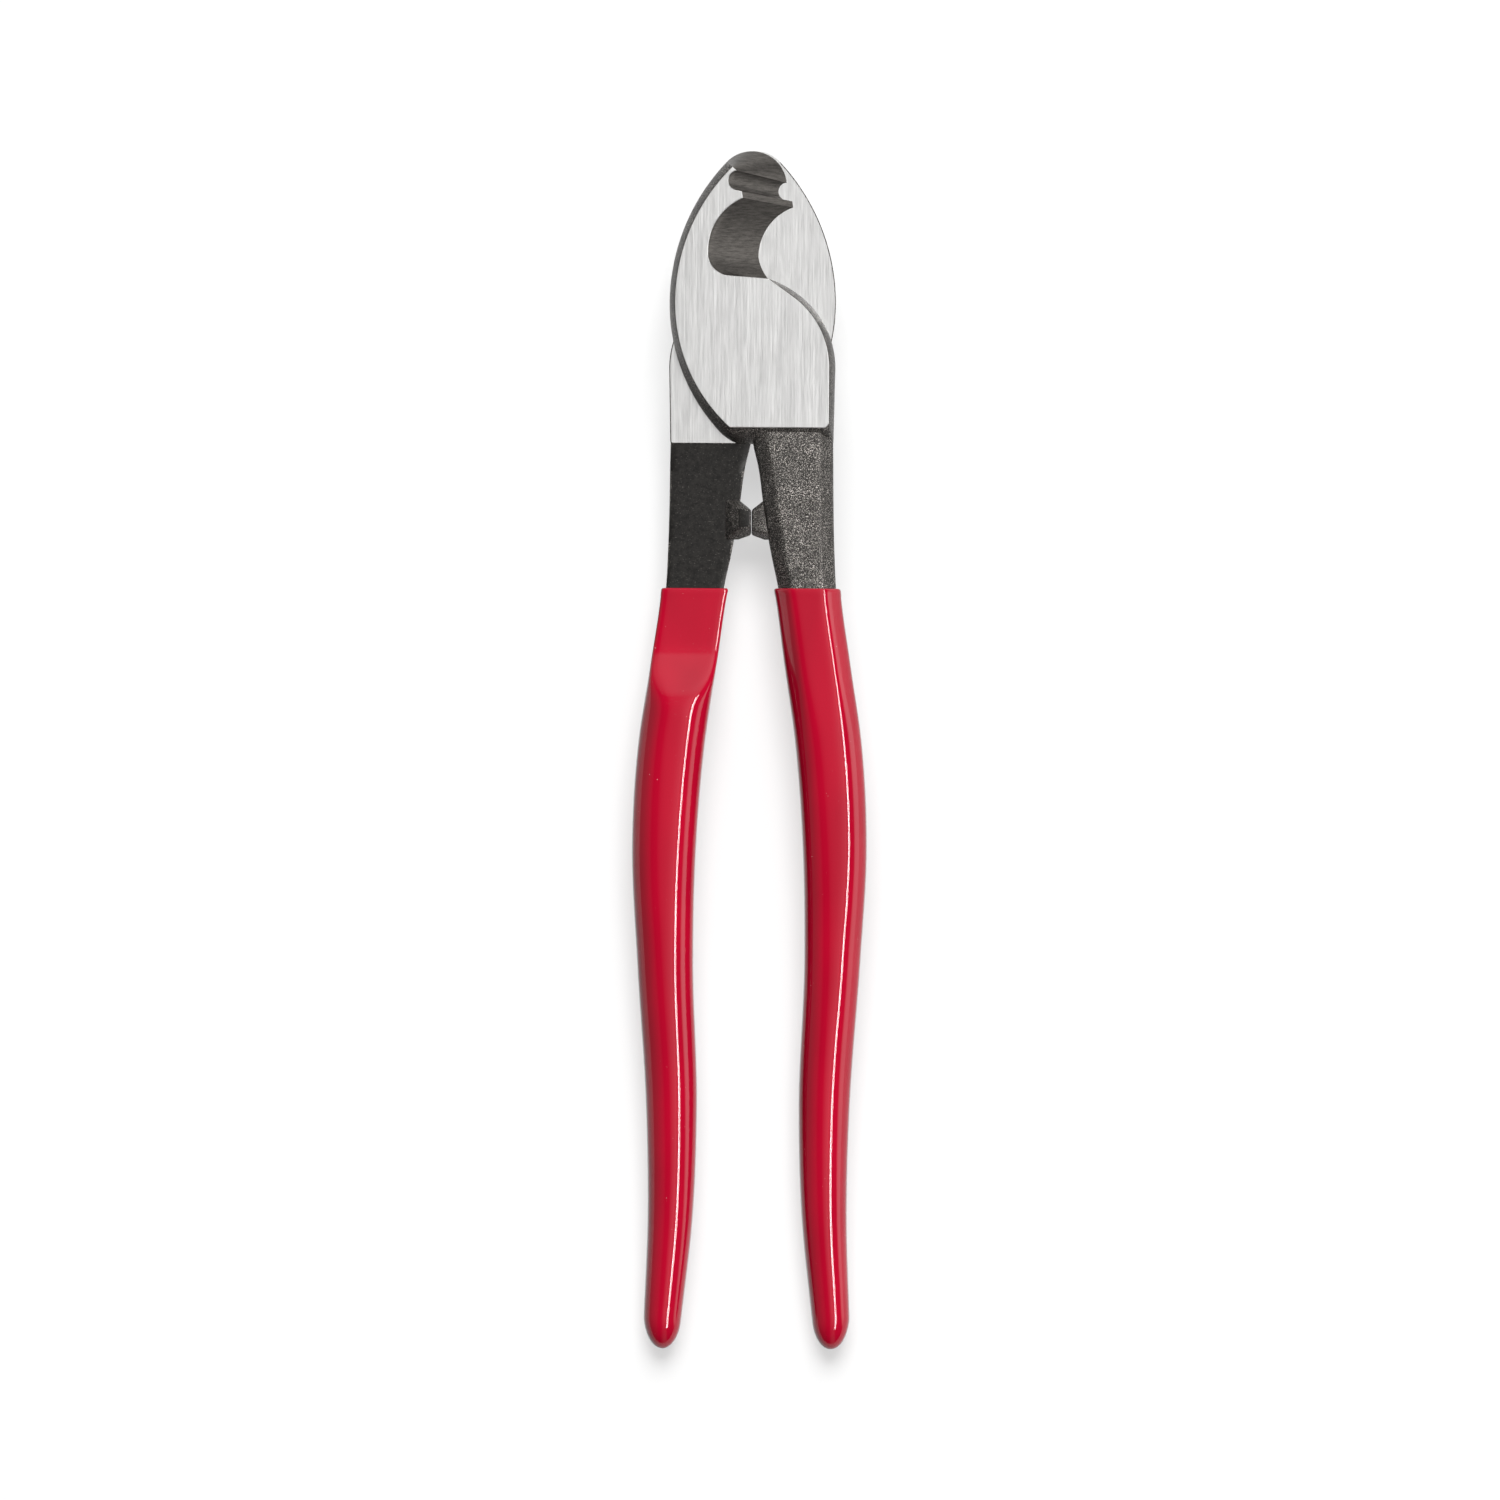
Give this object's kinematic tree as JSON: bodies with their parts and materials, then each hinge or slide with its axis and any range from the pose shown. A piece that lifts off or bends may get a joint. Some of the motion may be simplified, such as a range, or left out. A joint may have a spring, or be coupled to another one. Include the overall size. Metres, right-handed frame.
{
  "type": "cable cutters",
  "caption": "Lap-joint cable cutters with curved bevelled shear jaws, an adjustable pivot nut and red dipped plastic grips.",
  "frame": {"origin": "bottom centre of the shut tool, lying on its back on the nut's back face, centred over its length and width", "axes": "+Y to the tip of the jaws, +X to the right-hand grip seen from the front, +Z out of the front ground face, along the pivot axis"},
  "size_m": [0.047, 0.24, 0.0178],
  "materials": {
    "lever_steel": "forged and blackened, ground bright on the lap and outer faces of the head",
    "grip_plastic": "glossy dipped vinyl, deep red",
    "stud_steel": "turned, lightly oiled",
    "washer_steel": "hardened and ground",
    "spring_steel": "black oxide",
    "nut_steel": "zinc plated",
    "screw_steel": "black oxide"
  },
  "bodies": {
    "front_half": {"front_lever": "lever_steel", "front_grip": "grip_plastic", "pivot_stud": "stud_steel", "bearing_washer": "washer_steel", "disc_spring": "spring_steel", "pivot_nut": "nut_steel", "nut_lock_screw": "screw_steel"},
    "rear_half": {"rear_lever": "lever_steel", "rear_grip": "grip_plastic"}
  },
  "joints": [
    {"name": "jaw_pivot", "type": "hinge", "parent": "front_half", "child": "rear_half", "pos_m": [0, 0.0785, 0.01079], "axis": [0, 0, -1], "range_deg": [0, 50]}
  ]
}
